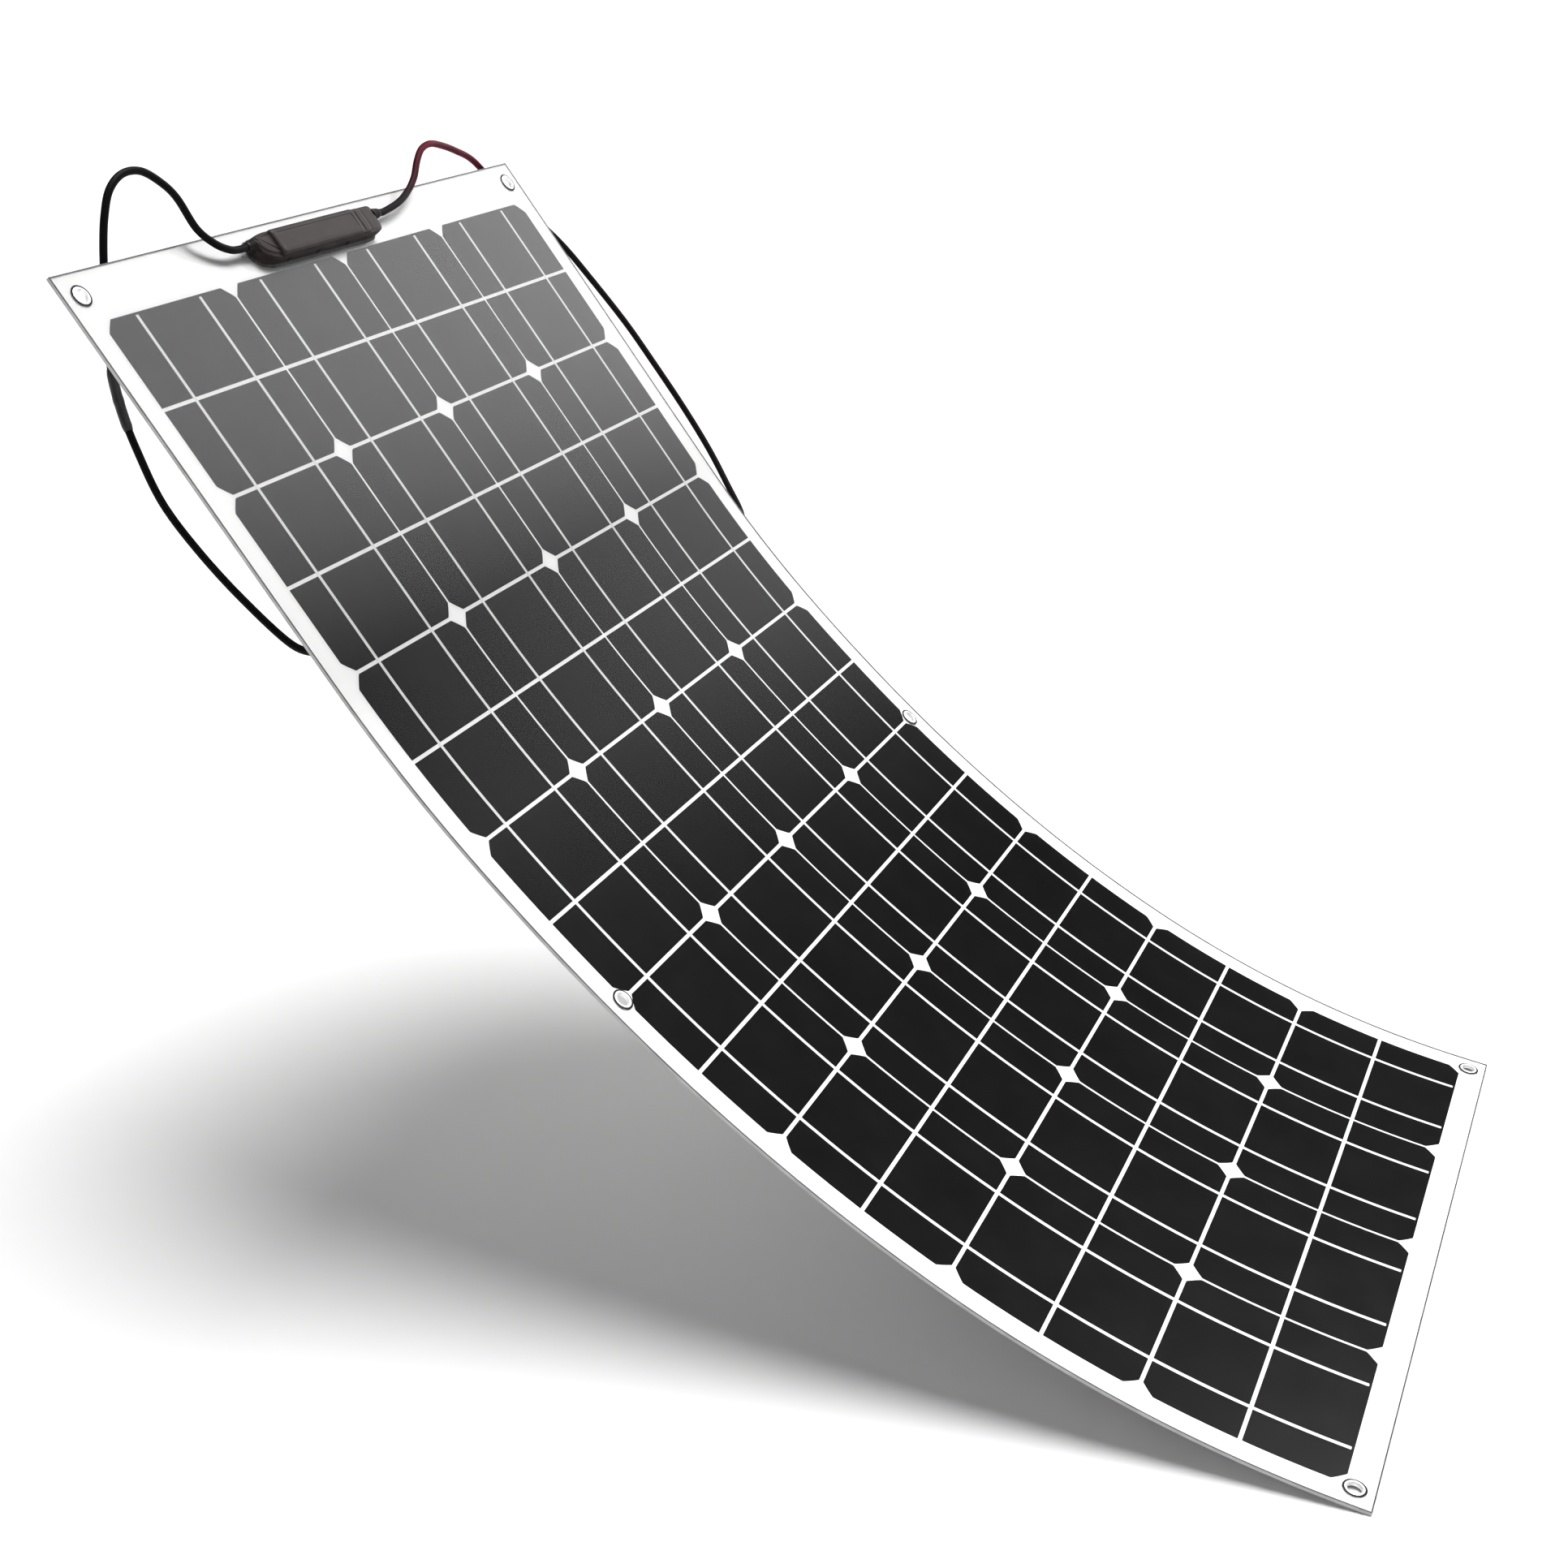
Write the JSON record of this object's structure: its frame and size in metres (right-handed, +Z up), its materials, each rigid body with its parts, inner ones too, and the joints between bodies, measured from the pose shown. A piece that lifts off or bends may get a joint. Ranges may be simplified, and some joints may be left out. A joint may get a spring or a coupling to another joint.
{
  "type": "flexible solar sheet",
  "caption": "Bendable photovoltaic sheet of rounded dark cells on a white backing, with edge eyelets, a slim connection box and two leads stowed behind.",
  "frame": {"origin": "on the flat back face of the low end, on the centre line, level with the edge of the first cells", "axes": "+X across the sheet towards the long edge away from the viewer, +Y along the floor towards the raised end, +Z up"},
  "size_m": [0.5827, 0.8298, 0.6828],
  "materials": {
    "white_sheet": "smooth white backing sheet",
    "clear_bond": "clear bonding layer",
    "silicon": "near-black monocrystalline silicon",
    "tinned_copper": "bright tinned copper",
    "clear_film": "clear glossy face film",
    "eyelet_steel": "bright pressed steel",
    "adhesive": "black silicone adhesive",
    "box_plastic": "warm brown-black moulded plastic",
    "diode_black": "black moulded package",
    "boot_rubber": "soft black rubber",
    "lead_black": "black cable sheath",
    "lead_red": "dark red cable sheath",
    "plug_plastic": "black moulded connector",
    "contact_metal": "tinned contact",
    "saddle_plastic": "black moulded cable saddle"
  },
  "bodies": {
    "low_end": {"rear_sheet_low_end": "white_sheet", "bond_fill_low_end": "clear_bond", "cells_low_end": "silicon", "ribbons_low_end": "tinned_copper", "front_film_low_end": "clear_film", "eyelet_low_left": "eyelet_steel", "eyelet_low_right": "eyelet_steel"},
    "bend_1": {"rear_sheet_bend_1": "white_sheet", "bond_fill_bend_1": "clear_bond", "cells_bend_1": "silicon", "ribbons_bend_1": "tinned_copper", "front_film_bend_1": "clear_film"},
    "bend_2": {"rear_sheet_bend_2": "white_sheet", "bond_fill_bend_2": "clear_bond", "cells_bend_2": "silicon", "ribbons_bend_2": "tinned_copper", "front_film_bend_2": "clear_film"},
    "bend_3": {"rear_sheet_bend_3": "white_sheet", "bond_fill_bend_3": "clear_bond", "cells_bend_3": "silicon", "ribbons_bend_3": "tinned_copper", "front_film_bend_3": "clear_film"},
    "bend_4": {"rear_sheet_bend_4": "white_sheet", "bond_fill_bend_4": "clear_bond", "cells_bend_4": "silicon", "ribbons_bend_4": "tinned_copper", "front_film_bend_4": "clear_film", "eyelet_mid_left": "eyelet_steel", "eyelet_mid_right": "eyelet_steel"},
    "bend_5": {"rear_sheet_bend_5": "white_sheet", "bond_fill_bend_5": "clear_bond", "cells_bend_5": "silicon", "ribbons_bend_5": "tinned_copper", "front_film_bend_5": "clear_film"},
    "raised_end": {"rear_sheet_raised_end": "white_sheet", "bond_fill_raised_end": "clear_bond", "cells_raised_end": "silicon", "ribbons_raised_end": "tinned_copper", "front_film_raised_end": "clear_film", "eyelet_top_left": "eyelet_steel", "eyelet_top_right": "eyelet_steel", "box_bed": "adhesive", "box_base": "box_plastic", "box_lid": "box_plastic", "box_terminals": "tinned_copper", "box_diode": "diode_black", "boot_neg": "boot_rubber", "boot_pos": "boot_rubber", "lead_neg": "lead_black", "lead_pos": "lead_red", "sleeve_neg": "lead_black", "plug_body_neg": "plug_plastic", "plug_nut_neg": "plug_plastic", "plug_body_pos": "plug_plastic", "plug_nut_pos": "plug_plastic", "plug_contacts": "contact_metal", "saddle_neg": "saddle_plastic", "saddle_pos": "saddle_plastic", "saddle_plug_neg": "saddle_plastic", "saddle_plug_pos": "saddle_plastic"}
  },
  "joints": [
    {"name": "flex_1", "type": "hinge", "parent": "low_end", "child": "bend_1", "pos_m": [0, 0.06253, 0.01131], "axis": [1, 0, 0], "range_deg": [-10, 3]},
    {"name": "flex_2", "type": "hinge", "parent": "bend_1", "child": "bend_2", "pos_m": [0, 0.18332, 0.05056], "axis": [1, 0, 0], "range_deg": [-9, 2.7]},
    {"name": "flex_3", "type": "hinge", "parent": "bend_2", "child": "bend_3", "pos_m": [0, 0.29648, 0.10822], "axis": [1, 0, 0], "range_deg": [-7, 2.1]},
    {"name": "flex_4", "type": "hinge", "parent": "bend_3", "child": "bend_4", "pos_m": [0, 0.40176, 0.17923], "axis": [1, 0, 0], "range_deg": [-6, 1.8]},
    {"name": "flex_5", "type": "hinge", "parent": "bend_4", "child": "bend_5", "pos_m": [0, 0.49905, 0.26087], "axis": [1, 0, 0], "range_deg": [-5, 1.5]},
    {"name": "flex_6", "type": "hinge", "parent": "bend_5", "child": "raised_end", "pos_m": [0, 0.58885, 0.35067], "axis": [1, 0, 0], "range_deg": [-7.5, 2.25]}
  ]
}
